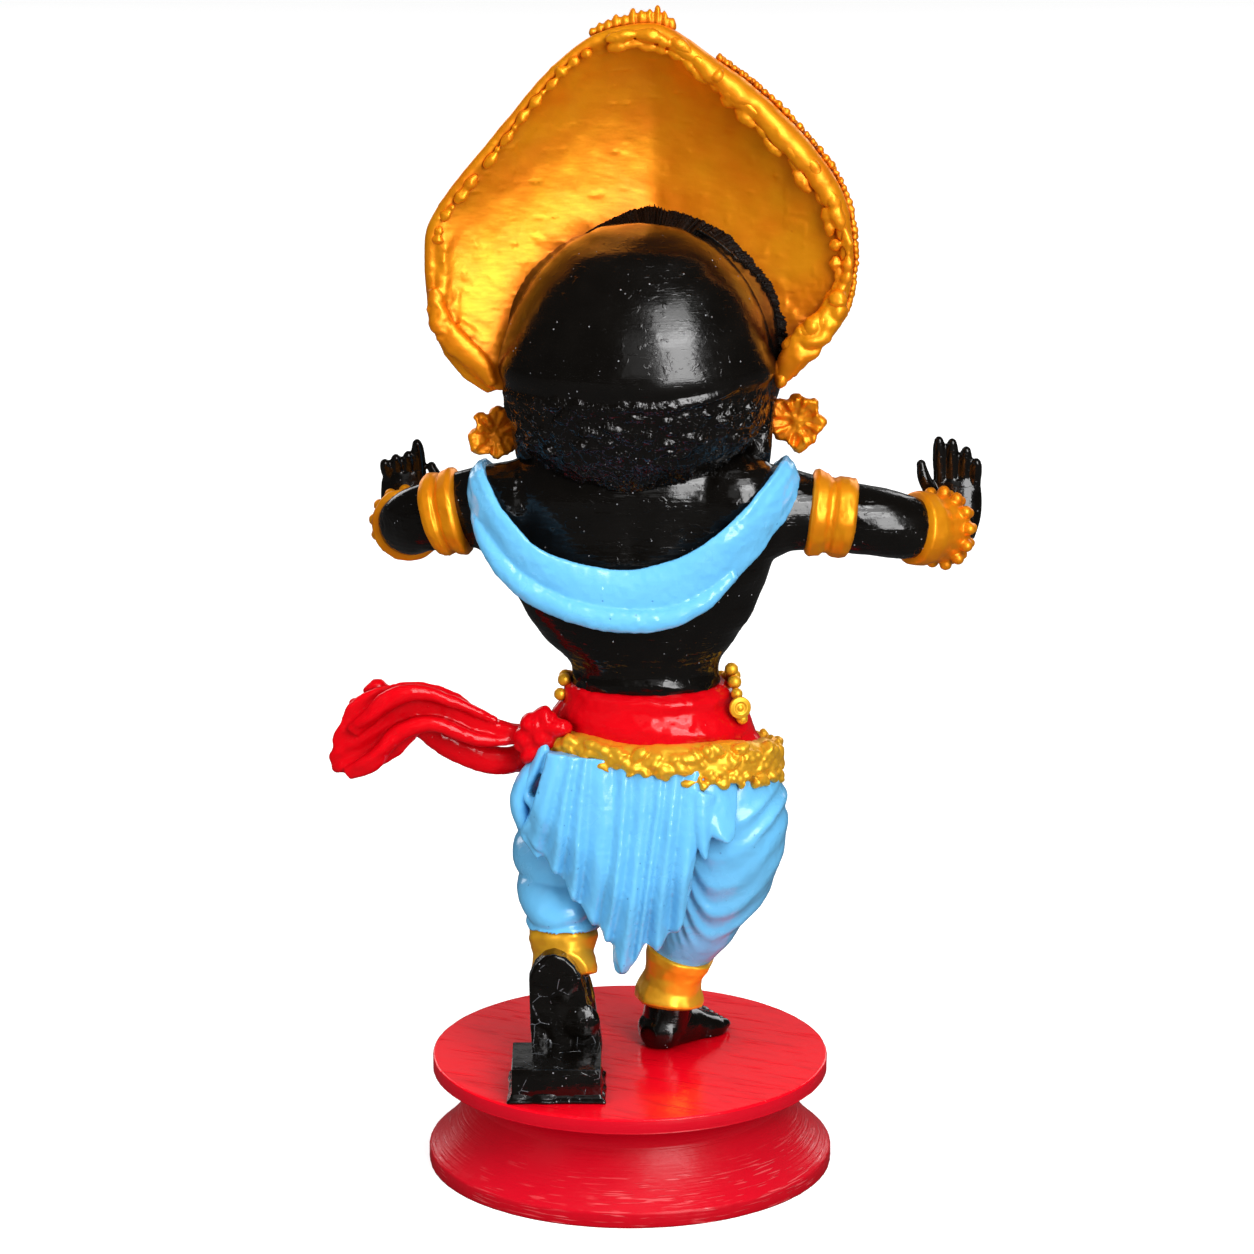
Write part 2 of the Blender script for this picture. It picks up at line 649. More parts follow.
def hand(wrist, side, fingers, thumb, name):
    """A hand held up from the wrist, its palm to the front."""
    x, y, z = wrist
    forms = [limb(
        [(x, y - 6, z - 8, 17, 14), (x + 2 * side, y + 6, z + 12, 22, 13), (x + side, y + 9, z + 34, 23, 11),
         (x, y + 9, z + 47, 20, 8.5)], 16, 24)]
    for offset, length, lean in fingers:
        foot = x + side * offset
        forms.append(limb(
            [(foot, y + 9, z + 28, 7, 7.2),
             (foot + 0.4 * side * lean, y + 8, z + 36 + 0.4 * length, 6.6, 6.8),
             (foot + 0.5 * side * lean, y + 8, z + 36 + 0.46 * length, 7, 7.2),
             (foot + 0.85 * side * lean, y + 5, z + 34 + 0.84 * length, 6.2, 6.4),
             (foot + side * lean, y + 3, z + 33 + length, 4.6, 4.8)], 20, 16))
        forms.append(ball((foot + side * lean, y + 3, z + 32 + length), (5, 5, 5.6), 2))
    keys = [(x + dx, y + dy, z + dz, radius + 0.6, radius + 0.6) for dx, dy, dz, radius in thumb]
    forms += [limb(keys, 14, 14), ball(keys[-1][:3], (5, 5, 5.4), 2)]
    cast(piece(name, forms, BLACK), 1.3, 3)


WRIST_LEFT = (-222, 104, 519)
WRIST_RIGHT = (321, 62, 522)


def hands():
    hand(WRIST_LEFT, -1, [(-15, 44, 3), (-5, 32, 2), (5, 29, 4), (14, 24, 6)],
         [(14, 6, 11, 7), (26, 4, 26, 6), (31, 2, 41, 5.5), (26, 4, 53, 4)], "hand_left")
    hand(WRIST_RIGHT, 1, [(-16, 54, -3), (-5, 52, -1), (6, 44, 2), (16, 32, 2)],
         [(-13, 6, 18, 7), (-25, 4, 34, 6.5), (-33, 2, 50, 6), (-36, 2, 63, 4)], "hand_right")


# Head

DOME = [
    (682, 7, -8, 126, 99), (692, 7, -8, 132, 105), (728, 7, -8, 128, 104), (764, 9, -6, 114, 91),
    (800, 9, -4, 88, 68), (824, 9, -2, 56, 44), (835, 9, 0, 26, 20), (838, 9, 0, 4, 3),
]
HAIR = [
    (588, 2, -42, 26, 20), (600, 2, -36, 66, 36), (618, 4, -28, 98, 57), (642, 6, -20, 119, 77),
    (668, 7, -14, 127, 93), (698, 8, -10, 128, 102),
]
FACE = [
    (598, 10, 34, 30, 30), (612, 10, 34, 78, 62), (640, 11, 32, 118, 86), (680, 12, 30, 136, 96),
    (724, 12, 30, 137, 97), (770, 11, 30, 122, 88), (800, 10, 30, 93, 72), (820, 10, 30, 57, 46),
    (829, 10, 30, 22, 18),
]
LEDGE_Z = 694


def head():
    chance = np.random.default_rng(8)
    forms = [stack(DOME, 70, 160), stack(HAIR, 50, 160), stack(FACE, 80, 160)]
    for _ in range(54):
        turn = math.radians(chance.uniform(200, 335))
        z = chance.uniform(630, 688)
        x, y, width, depth = through(HAIR, z)
        forms.append(ball(
            (x + width * math.cos(turn), y + depth * math.sin(turn), z),
            (chance.uniform(3, 10), chance.uniform(2.5, 4.5), chance.uniform(2.5, 6)), 2))
    swoop = [(-24, 684, 1), (0, 682, 3), (26, 683, 4.6), (52, 686, 5.6), (76, 690, 6), (98, 697, 5),
             (114, 706, 1.5)]
    forms.append(limb(
        [(x, -8 - 102 * math.sqrt(1 - ((x - 7) / 131) ** 2), z, r, r) for x, z, r in swoop], 60, 20))
    forms.append(limb(
        [(122, 2, 696, 6, 9), (128, -2, 668, 11, 12), (127, -4, 640, 11, 12), (122, -6, 612, 14, 16),
         (116, -4, 592, 16, 18)], 50, 30))
    forms.append(limb(
        [(-104, 2, 696, 6, 9), (-108, -2, 668, 10, 12), (-105, -4, 640, 10, 12),
         (-98, -4, 610, 12, 16)], 50, 30))
    obj = cast(piece("head", forms, HEAD_BLACK), 1.9, 4)

    def locks(p, n):
        behind = step(-6, -34, p[:, 1])
        low = step(LEDGE_Z - 6, LEDGE_Z - 20, p[:, 2] + 9 * grain(p * [1, 1, 0.2], 22, 8))
        lumps = 1.6 * grain(p * [1, 1, 1.6], 18, 4)
        lumps = lumps + 3.6 * np.maximum(0, grain(p * [0.8, 1, 1.2], 7, 5) - 0.3)
        beads = 3.2 * np.maximum(0, grain(p * [0.9, 1, 1.1], 4.6, 11) - 0.42)
        slant = np.stack([p[:, 0] + p[:, 2], p[:, 1], 0.25 * (p[:, 2] - p[:, 0])], -1)
        wires = 1.8 * np.abs(grain(slant, 6, 6)) * step(40, -40, p[:, 0])
        hatched = bump(606, 17, p[:, 2] + 0.1 * np.abs(p[:, 0])) * step(-60, 0, p[:, 0])
        hatch = 1.2 * np.sin((p[:, 0] + 1.5 * p[:, 2]) / 0.95) * hatched
        blended = 3.6 * bump(681, 7, p[:, 2]) * step(10, -50, p[:, 0])
        smooth = 0.35 * grain(p, 24, 7) + 0.7 * np.maximum(0, grain(p, 4, 10) - 0.62)
        ridges = 0.5 * np.sin(p[:, 2] / 1.1) * step(2, 18, p[:, 1]) * step(700, 740, p[:, 2])
        return behind * (low * (lumps + beads + wires) + hatch + blended) + smooth + ridges

    raised(obj, locks)


def on_face(dx, z):
    """Place on the front of the face, level with z and dx from its middle."""
    x, y, width, depth = through(FACE, z)
    return np.array([x + dx, y + depth * math.sqrt(max(0, 1 - (dx / width) ** 2)), z])


def disc(middle, out, radii, lift):
    """A low domed disc lying on the face."""
    side = unit(np.array([out[1], -out[0], 0]))
    over = np.cross(side, out)
    turn = full_turn(40)
    rings = []
    for height, share in ((-6, 1), (0, 1), (0.6 * lift, 0.93), (0.9 * lift, 0.7), (lift, 0.35)):
        rings.append(
            middle + out * height + np.outer(np.cos(turn), side) * radii[0] * share
            + np.outer(np.sin(turn), over) * radii[1] * share)
    return skin(rings[::-1])


def face():
    for side, label in ((-1, "left"), (1, "right")):
        out = unit(np.array([side * 0.36, 1, 0.05]))
        middle = on_face(side * 52, 724)
        piece(f"eye_rim_{label}", [disc(middle, out, (37, 36), 5)], RED)
        piece(f"eye_white_{label}", [disc(middle + out * 3, out, (33, 31), 5)], WHITE)
        inward = middle + out * 7 - unit(np.array([out[1], -out[0], 0])) * side * 4
        piece(f"iris_{label}", [disc(inward, out, (15, 15), 3)], BROWN)
        brow = [
            (*(on_face(side * dx, z) + out * 1.5), 4.5 - abs(dx - 50) * 0.06, 3)
            for dx, z in ((16, 768), (34, 779), (54, 782), (74, 774), (90, 758))]
        piece(f"brow_{label}", [limb(brow, 30, 14, (0, 1, 0))], WHITE)
    x = 12
    nose = limb([(x, 122, 722, 6, 5), (x, 128, 704, 8, 7), (x, 133, 688, 13, 11), (x, 129, 677, 12, 9),
                 (x, 120, 670, 6, 5)], 24, 24)
    cast(piece("nose", [nose, ball((x - 10, 127, 681), (7, 6, 6)), ball((x + 10, 127, 681), (7, 6, 6))],
               BLACK), 1.4, 4)
    lips = []
    for share in np.linspace(-1, 1, 7):
        p = on_face(share * 54, 648 + 20 * share * share)
        lips.append((*p, 9 * (1 - 0.7 * share * share), 4.5))
    piece("lips", [limb(lips, 50, 20, (0, 1, 0))], RED)
    mark = limb(
        [(x, 124, 744, 5, 2.5), (x, 123, 762, 8, 3), (x, 115, 786, 6, 3), (x, 108, 800, 2, 2)], 24, 16)
    piece("brow_mark", [mark], GOLD)


# Crown

CROWN_RIM = [
    (-131, 676, 8), (-162, 700, 8), (-182, 742, 9), (-188, 800, 9), (-180, 844, 9), (-130, 911, 8),
    (-75, 978, 8), (-30, 1012, 9), (26, 1018, 12), (72, 988, 14), (132, 936, 16), (186, 872, 14),
    (204, 812, 10), (197, 758, 10), (170, 722, 12), (148, 694, 14),
]
CROWN_SEAT = {"x": 10, "z": 708, "width": 126, "height": 120, "y": 44}
CROWN_RIM_Y = -6
CROWN_THICKNESS = 11
CROWN_MIDDLE_Z = 760
CREASE_X = 24
CREASE_Y = 58
PAGE_SLOPE = 0.25
PAGE_BOW = 0.0006


def crown_rim(u):
    keys = np.column_stack([np.linspace(0, 1, len(CROWN_RIM)), CROWN_RIM])
    return through(keys, u)


def crown_point(u, v):
    """A point of the hollow side: u runs round it from low left to low right, v from head to rim.
    Its halves meet in a soft upright crease, like the pages of an open book, and lean back low down."""
    rim = crown_rim(u)
    turn = np.radians(194 - 208 * u)
    seat_x = CROWN_SEAT["x"] + CROWN_SEAT["width"] * np.cos(turn)
    seat_z = CROWN_SEAT["z"] + CROWN_SEAT["height"] * np.sin(turn)
    x = seat_x + (rim[..., 0] - seat_x) * v
    z = seat_z + (rim[..., 1] - seat_z) * v
    page = CREASE_Y - PAGE_SLOPE * np.hypot(x - CREASE_X, 9) - PAGE_BOW * (z - 925) ** 2
    return np.stack([x, page + (CROWN_RIM_Y - page) * np.clip(v, 0, 1) ** 3.5, z], -1)


def crown():
    """The shell of the crown with its rolled rim, thin on the left and thick on the right."""
    u = np.linspace(0, 1, 421)[:, None]
    v = np.linspace(-0.06, 0.95, 84)[None]
    back = crown_point(u + 0 * v, v + 0 * u)
    front = back + np.stack([0 * v + 0 * u, 0 * v + 0 * u + CROWN_THICKNESS, 5 * (1 - v) + 0 * u], -1)
    crumpled = step(0.29, 0.22, u) * step(0.02, 0.06, u) * step(0.76, 0.88, v + 0.05 * grain(back, 20, 3))
    folds = 6 * np.abs(grain(back * [0.7, 0, 0.45], 13, 5)) + 2 * np.abs(grain(back, 7, 6))
    back[..., 1] -= crumpled * (1 + folds)
    rows = crown_rim(u[:, 0])
    flat = rows * [1, 1, 0]
    right = step(0.47, 0.6, u[:, 0])
    swell = 0.68 + 0.2 * right + (0.05 + 0.13 * right) * grain(flat, 15, 5)
    radius = rows[:, 2] * swell + 0.5 * grain(flat, 5, 6)
    out = unit(np.stack([rows[:, 0] - CROWN_SEAT["x"], 0 * radius, rows[:, 1] - CROWN_MIDDLE_Z], -1))
    turn = np.radians(np.linspace(-135, 130, 26))
    rim = np.stack([rows[:, 0], 0 * radius + CROWN_RIM_Y + 5, rows[:, 1]], -1)
    rim = rim + out * (rows[:, 2] - radius)[:, None]
    rim = rim[:, None] + out[:, None] * (radius[:, None] * np.cos(turn))[..., None]
    rim = rim + np.array([0, 1.1, 0]) * (radius[:, None] * np.sin(turn))[..., None]
    forms = [skin(np.concatenate([back, rim, front[:, ::-1]], axis=1))]
    forms.append(limb(
        [(198, -8, 770, 9, 9), (190, -14, 748, 14, 9), (172, -16, 730, 16, 9), (156, -15, 708, 14, 10),
         (143, -10, 688, 8, 8)], 60, 30))
    forms.append(limb(
        [(-188, -8, 776, 6, 6), (-184, -14, 752, 10, 7), (-173, -16, 732, 12, 7),
         (-157, -16, 716, 12, 7), (-143, -14, 702, 10, 7), (-132, -10, 684, 6, 7)], 60, 30))
    forms.append(limb(
        [(-166, -8, 742, 6, 5), (-148, -4, 727, 8, 5), (-132, 3, 715, 6, 5), (-122, 6, 700, 4, 4)],
        40, 20))
    obj = cast(piece("crown", forms, GOLD), 1.9, 3)

    def brushed(p, n):
        inside = step(0.3, -0.3, n[:, 1])
        swirl = np.stack([p[:, 0] * 0.10, p[:, 1] * 0.3, p[:, 2] + 0.35 * p[:, 0]], -1)
        strokes = 0.12 * grain(swirl, 2.6, 11) + 0.06 * grain(swirl * [3, 1, 1], 1.4, 13)
        fleck = 1.8 * np.maximum(0, grain(p * [0.5, 1, 1], 6, 15) - 0.55)
        flaps = 2.2 * np.maximum(0, grain(p * [1, 0.5, 0.6], 9, 19) - 0.45) * step(110, 150, p[:, 0])
        corner = step(20, -60, p[:, 0]) * step(900, 760, p[:, 2])
        slant = np.stack([p[:, 0] - 0.5 * p[:, 2], p[:, 1], p[:, 2]], -1)
        scales = -0.4 * np.abs(grain(slant, 6, 16)) * corner
        away = np.hypot(p[:, 0] - CROWN_SEAT["x"], p[:, 2] - CROWN_SEAT["z"])
        ends = step(790, 765, p[:, 2]) * step(0, 14, away - 142 - 34 * step(20, -20, p[:, 0]))
        facets = ends * (4.5 * np.abs(grain(p * [1, 0.3, 1], 15, 26)) + 1.6 * np.abs(grain(p, 7, 27)) - 1.5)
        return inside * (strokes + fleck + flaps + scales + facets) + 0.6 * grain(p, 14, 12)

    raised(obj, brushed)


def crown_trim():
    """Small beads and lumps cast along the rim: apart on the left, run together on the right."""
    chance = np.random.default_rng(4)
    forms = []

    def on_rim(share, reach, y):
        x, z, _ = crown_rim(share)
        away = unit(np.array([x - CROWN_SEAT["x"], 0, z - CROWN_MIDDLE_Z]))
        return np.array([x + away[0] * reach, y, z + away[2] * reach])

    def roll(share, length, reach, y, radius):
        """A short lump lying along the rim."""
        ends = [on_rim(share + side * length / 2, reach, y) for side in (-1, 0, 1)]
        thick = (0.45 * radius, radius, 0.45 * radius)
        forms.append(limb([(*p, r, 0.8 * r) for p, r in zip(ends, thick)], 10, 14))

    for k in range(13):
        share = 0.235 + 0.235 * (k + chance.uniform(-0.2, 0.2)) / 13
        roll(share, 0.014, chance.uniform(-5, -2), CROWN_RIM_Y - 1, chance.uniform(4.6, 6.6))
        if chance.random() < 0.6:
            size = chance.uniform(2.4, 3.6)
            forms.append(ball(on_rim(share + 0.009, -3, CROWN_RIM_Y - 1), size, 2))
    for k in range(24):
        share = 0.49 + 0.42 * (k + chance.uniform(-0.35, 0.35)) / 24
        inner = -crown_rim(share)[2] * chance.uniform(0.5, 0.95)
        roll(share, chance.uniform(0.012, 0.026), inner, CROWN_RIM_Y - 2, chance.uniform(4, 7.5))
    for k in range(20):
        share = 0.5 + 0.44 * (k + chance.uniform(-0.4, 0.4)) / 20
        length, reach = chance.uniform(0.015, 0.035), chance.uniform(-4, 5)
        roll(share, length, reach, CROWN_RIM_Y - 5, chance.uniform(5, 8))
    for k, tall in enumerate((5, 7, 6, 9, 8, 12, 10, 11, 15, 12, 7)):
        share = 0.462 + 0.0088 * k
        place = on_rim(share, crown_rim(share)[2] + 2, CROWN_RIM_Y + 14)
        forms.append(ball(place, (chance.uniform(3.6, 5), 5, tall), 2))
    for row, (y, more) in enumerate(((CROWN_RIM_Y + 12, 2), (CROWN_RIM_Y + 22, 0))):
        for k in range(46):
            share = 0.61 + 0.32 * (k + 0.5 * row) / 46
            place = on_rim(share, crown_rim(share)[2] + more, y)
            forms.append(ball(place, chance.uniform(3.2, 4.8, 3), 2))
    for x, z, wide, tall in ((192, 752, 12, 10), (184, 742, 15, 11), (172, 736, 16, 10), (162, 722, 17, 12),
                             (156, 708, 14, 12), (148, 699, 12, 10), (145, 688, 8, 9), (199, 768, 9, 10)):
        size = np.array([wide, 7, tall]) * chance.uniform(0.85, 1.1, 3)
        forms.append(ball((x, -14 + chance.uniform(-4, 2), z), size))
    obj = cast(piece("crown_trim", forms, GOLD), 1.3, 2)
    raised(obj, lambda p, n: 1.1 * grain(p, 7, 17) + 0.4 * grain(p, 2.5, 18))


def crown_seat():
    """Black paint, dragged outward in fine strokes, where the dome of the head meets the crown."""
    u = np.linspace(0.06, 0.985, 640)[:, None]
    v = np.linspace(0, 1, 20)[None]
    way = (crown_point(u, 1 + 0 * u) - crown_point(u, 0 * u))[..., [0, 2]]
    along = np.concatenate([u * 900, 0 * u, 0 * u], -1)
    strands = 1 + 0.16 * grain(along, 22, 3) + 0.10 * grain(along, 1.6, 5)
    width = (3 + 15 * step(0.34, 0.56, u)) * strands[:, None]
    points = crown_point(u + 0 * v, v * width / np.linalg.norm(way, axis=-1))
    comb = 0.15 * np.sin(2 * np.pi * u * 900 / 3.4 + 2 * v) + 0.4 * grain(points, 4, 4)
    points[..., 1] -= 0.9 * (1 - v ** 2) + comb * (1 - v ** 4)
    points = points.transpose(1, 0, 2)
    piece("crown_seat", [sheet(points, points + [0, 7, 0])], DULL_BLACK)
    ridge = crown_point(np.linspace(0.62, 0.97, 10), np.full(10, 0.05)) + [0, -4, 0]
    piece("seat_ridge", [limb([(*p, 2.0, 2.0) for p in ridge], 90, 14)], BLACK)


def crown_jewels():
    def front(u, v):
        return crown_point(np.asarray(u), np.asarray(v)) + np.array([0, CROWN_THICKNESS, 4 * (1 - v)])
    beads = [ball(front((k + 0.5) / 31, 0.17), 7.5, 2) for k in range(31)]
    petals = []
    for k in range(19):
        share = (k + 0.5) / 19
        root, tip = front(share, 0.3), front(share, 0.52)
        petals.append(limb(
            [(*root, 5, 3), (*(0.6 * root + 0.4 * tip), 11, 5), (*tip, 2.5, 3)], 14, 14, (0, 1, 0)))
    edge = [ball(front((k + 0.5) / 71, 0.9), 4.6, 2) for k in range(71)]
    cast(piece("crown_beads", beads + petals + edge, GOLD), 1.7, 2)
    medal = front(0.52, 0.4)
    rosette = [ball(medal, (24, 9, 28)), ball(medal + [0, 6, 0], (12, 8, 14))]
    for k in range(14):
        turn = 2 * np.pi * k / 14
        rosette.append(ball(medal + [25 * np.cos(turn), 2, 29 * np.sin(turn)], 5.5, 2))
    plume = front(0.52, 0.72)
    rosette.append(limb(
        [(*(medal + [0, 0, 24]), 9, 7), (*(0.5 * (medal + plume) + [0, 4, 8]), 15, 8),
         (*plume, 6, 6)], 20, 18))
    cast(piece("crown_medallion", rosette, GOLD), 1.5, 2)
    piece("crown_stone", [ball(medal + [0, 10, 0], (8, 6, 10))], RED)


# Jewellery

def earring(name, x, y, z, radius, lean):
    """A ruffled flower: a dished disc with eight folded petals."""
    turn = full_turn(144)
    rings = []
    for depth, share in ((9, 0.2), (10, 0.6), (6, 0.9), (1, 1.0), (-4, 0.97), (-7, 0.86), (-6, 0.7),
                         (-4, 0.5), (-3, 0.3), (-3, 0.2), (-3, 0.06)):
        waves = 0.08 * np.cos(8 * turn) + 0.07 * np.cos(5 * turn + 1) + 0.05 * np.cos(3 * turn + x)
        ruffle = share ** 2 * waves
        reach = radius * (share + ruffle)
        fold = share * (1.2 * np.cos(16 * turn + 3 * share) + 2.2 * np.cos(8 * turn + 0.8 * np.sin(3 * turn)))
        rings.append(np.stack([
            x + reach * np.cos(turn), y + depth + fold + lean * reach * np.cos(turn),
            z + reach * np.sin(turn)], -1))
    obj = cast(piece(name, [skin(rings)], GOLD), 1.2, 2)
    raised(obj, lambda p, n: 1.9 * grain(p, 8, 14) + 0.8 * grain(p, 3.5, 15))


def band(keys, start, end, profile):
    """A gold band round an arm between two shares of its path."""
    places = np.linspace(0, 1, 48)
    swell = np.interp(places, [row[0] for row in profile], [row[1] for row in profile])
    return limb(keys, 0, 72, UP, np.column_stack([start + (end - start) * places, swell]),
                relief=lambda p: 1.3 * grain(p, 15, 21) + 0.6 * grain(p, 6, 22) + 0.3 * grain(p, 3, 23))


ARMLET = [(0, 0.92), (0.05, 1.1), (0.14, 1.17), (0.36, 1.13), (0.44, 1.04), (0.52, 1.05), (0.6, 1.14),
          (0.78, 1.17), (0.92, 1.12), (1, 0.9)]
BRACELET = [(0, 0.92), (0.06, 1.2), (0.3, 1.28), (0.5, 1.2), (0.72, 1.26), (0.9, 1.3), (1, 0.85)]


def arm_gold():
    for keys, armlet, bracelet, half, standing, label in (
            (ARM_LEFT, 0.33, 0.84, 0.10, 1.26, "left"), (ARM_RIGHT, 0.34, 0.81, 0.125, 1.38, "right")):
        piece(f"armlet_{label}", [band(keys, armlet - 0.085, armlet + 0.085, ARMLET)], GOLD)
        forms = [band(keys, bracelet - half, bracelet + half, BRACELET)]
        at = (bracelet + 0.6 * half) * (len(keys) - 1)
        row, ahead = through(numbered(keys), at), through(numbered(keys), at + 0.05)
        axis = unit(ahead[:3] - row[:3])
        side = unit(np.cross(axis, UP))
        over = np.cross(side, axis)
        for k in range(13):
            turn = 2 * np.pi * (k + 0.3) / 13
            away = side * np.cos(turn) + over * np.sin(turn)
            place = row[:3] + standing * row[3] * away
            forms.append(ball(place, 6.6, 2))
            forms.append(ball(place - 5 * away, 7, 2))
            forms.append(ball(place + 9 * axis - 4 * away, 5.6, 2))
        cast(piece(f"bracelet_{label}", forms, GOLD), 1.5, 2)


GARLAND = [
    (128, 604, 0), (134, 560, 0), (138, 505, 0), (138, 450, 0), (134, 404, 4), (126, 364, 16),
    (112, 334, 26), (90, 318, 32), (68, 334, 26), (54, 364, 16), (46, 404, 4), (42, 450, 0),
    (42, 505, 0), (46, 560, 0), (52, 604, 0),
]


def garland():
    keys = numbered(GARLAND)
    forms = []
    count = 64
    for k in range(count):
        degrees, z, reach = through(keys, (len(GARLAND) - 1) * k / (count - 1))
        x, y, width, depth = through(TORSO, z)
        turn = math.radians(degrees)
        forms.append(ball(
            (x + (width + reach) * math.cos(turn), y + (depth + reach) * math.sin(turn), z), 8, 2))
    cast(piece("garland", forms, GOLD), 1.6, 1)


def waist_chain():
    """A chain of beads round the front of the waist, with a coin at its right end."""
    forms = []
    for k in range(19):
        turn = math.radians(172 - 168 * k / 18)
        x, z = 19 + 83 * math.cos(turn), 388 - 22 * math.sin(turn)
        forms.append(ball((x, 2 + 66 * math.sin(turn), z), 6.8, 2))
    for place, size in (((-64, -2, 385), 7), ((-68, -8, 372), 6.6), ((99, -4, 396), 7),
                        ((102, -14, 386), 7), ((104, -24, 377), 6), ((109, -34, 355), 6)):
        forms.append(ball(place, size, 2))
    piece("waist_chain", forms, GOLD)
    middle, out = np.array([107, -38, 367.0]), unit(np.array([0.30, -1, 0.1]))
    across = unit(np.cross(out, UP))
    rings = []
    turn = full_turn(60)[:, None]
    for radius, lift in ((0.5, 2.6), (2.5, 2.4), (3.2, 1.2), (5, 1.2), (6, 2.6), (7.4, 2.6), (8.2, 1.6),
                         (10, 2.2), (10.8, 1.2), (10.8, -2), (0.5, -2)):
        circle = across * np.cos(turn) + np.cross(across, out) * np.sin(turn)
        rings.append(middle + out * lift + radius * circle)
    piece("waist_coin", [skin(rings)], GOLD)


# Waist

BELT_HEIGHT = [(-88, 332), (-68, 331), (-34, 329), (0, 323), (35, 321), (74, 317), (108, 314),
               (137, 306), (142, 305)]
BELT_RING = {"x": 26, "y": 2, "width": 117, "depth": 80}


def belt_width(turn):
    """Half height of the belt; it is widest behind the right hip."""
    x = BELT_RING["x"] + BELT_RING["width"] * np.cos(turn)
    behind = step(0.3, -0.2, np.sin(turn))
    return 10 + behind * (2 + 8 * step(-50, 115, x))


def belt_point(turn, lift=0.0, out=0.0):
    front = step(0, 0.6, np.sin(turn)) * step(0.2, -0.6, np.cos(turn))
    x = BELT_RING["x"] + (BELT_RING["width"] - 18 * front) * np.cos(turn)
    z = through(BELT_HEIGHT, x)[..., 0] - 16 * front
    return np.stack([
        x + out * np.cos(turn), BELT_RING["y"] + (BELT_RING["depth"] + out) * np.sin(turn), z + lift], -1)


def belt():
    turn = full_turn(180)
    core = np.stack([
        belt_point(turn, 1.15 * belt_width(turn) * np.sin(a), 18 * np.cos(a) - 12) for a in full_turn(20)], 1)
    forms = [skin(core, hoop=True)]
    chance = np.random.default_rng(12)
    for k in range(330):
        spot = 2 * np.pi * (k + chance.uniform(-0.4, 0.4)) / 330
        width = float(belt_width(np.array(spot)))
        lift = chance.uniform(-1.0, 0.95) * width
        size = chance.uniform(5.5, 8.5)
        lean = chance.uniform(-0.07, 0.07)
        rise = chance.uniform(-6, 6)
        over = 2 + 2 * max(0, -lift / width)
        ends = [belt_point(np.array(spot + side * lean), lift + side * rise, over) for side in (-1, 0, 1)]
        thick = (0.6 * size, size, 0.6 * size)
        forms.append(limb([(*p, 0.8 * r, r) for p, r in zip(ends, thick)], 8, 12))
    obj = cast(piece("belt", forms, GOLD), 1.4, 1)
    raised(obj, lambda p, n: 0.8 * grain(p, 5, 24))


SASH = [(322, 24, 2, 104, 76), (344, 21, 1, 98, 70), (362, 19, 0, 88, 64), (378, 17, 0, 81, 61),
        (384, 16, 0, 76, 56)]


def sash():
    def rolls(p):
        slant = p[..., 2] + 0.05 * p[..., 0] + 5 * grain(p * [1, 1, 0.3], 70, 31)
        return 1.7 * np.sin(slant / 4.6) * step(384, 374, p[..., 2]) + 1.0 * grain(p * [0.25, 0.25, 1], 6, 32)

    form = stack(SASH, 70, 220, rolls)
    knot = [ball(middle, radii) for middle, radii in (
        ((-92, -42, 350), (15, 14, 14)), ((-101, -38, 335), (13, 13, 15)), ((-84, -44, 358), (13, 11, 11)),
        ((-84, -46, 338), (14, 11, 13)), ((-95, -42, 322), (12, 12, 11)), ((-70, -50, 350), (15, 9, 10)),
        ((-88, -30, 340), (17, 22, 22)))]
    upper = [
        (-88, -24, 338, 12, 10), (-107, -24, 338, 9, 9), (-132, -22, 339, 12, 9), (-156, -22, 347, 16, 9),
        (-180, -22, 359, 21, 9), (-205, -22, 362, 26, 9), (-226, -22, 355, 31, 9), (-247, -22, 341, 35, 10),
        (-268, -20, 320, 26, 10), (-284, -18, 301, 12, 9), (-287, -18, 296, 3, 3)]
    lower = [
        (-78, -14, 318, 10, 10), (-103, -10, 308, 13, 10), (-127, -8, 304, 14, 10), (-152, -8, 309, 14, 10),
        (-180, -10, 324, 14, 9), (-208, -14, 345, 12, 8)]
    ridge = [(-110, -28, 330, 4, 4), (-150, -33, 334, 7, 7), (-190, -37, 350, 8, 8), (-224, -38, 342, 9, 9),
             (-252, -38, 312, 9, 9), (-276, -30, 297, 6, 6)]
    over = [(-130, -27, 350, 4, 4), (-168, -33, 370, 6, 6), (-205, -35, 382, 8, 8), (-232, -37, 376, 10, 9),
            (-254, -35, 356, 9, 8), (-270, -30, 340, 6, 6)]
    ends = [
        limb(upper, 120, 60, flute=lambda s, t: 1 + 0.05 * np.cos(5 * t + 6 * s)), limb(lower, 70, 40),
        limb(ridge, 60, 20), limb(over, 60, 18),
        limb([(-226, -8, 362, 13, 10), (-246, -4, 374, 11, 9), (-256, -2, 380, 8, 7)], 24, 24),
        limb([(-240, -4, 344, 16, 11), (-264, -2, 354, 12, 9), (-275, -2, 357, 8, 8)], 24, 24),
        limb([(-250, -4, 330, 14, 10), (-272, -4, 336, 11, 9), (-280, -4, 334, 8, 8)], 24, 24),
    ]
    obj = cast(piece("sash", [form, *knot, *ends], RED), 1.6, 5)

    def drawn(p, n):
        tied = step(-62, -72, p[:, 0]) * step(-122, -108, p[:, 0])
        puckers = 3.2 * np.abs(grain(p * [1, 0.5, 0.7], 10, 35)) - 1
        across = 0.55 * p[:, 0] - 0.83 * p[:, 2]
        fanned = step(-222, -244, p[:, 0]) * 1.2 * np.sin(across / 2.6 + 1.2 * grain(p, 24, 36))
        return tied * puckers + fanned + 0.6 * grain(p, 9, 33) + 0.35 * grain(p, 4, 34)

    raised(obj, drawn)


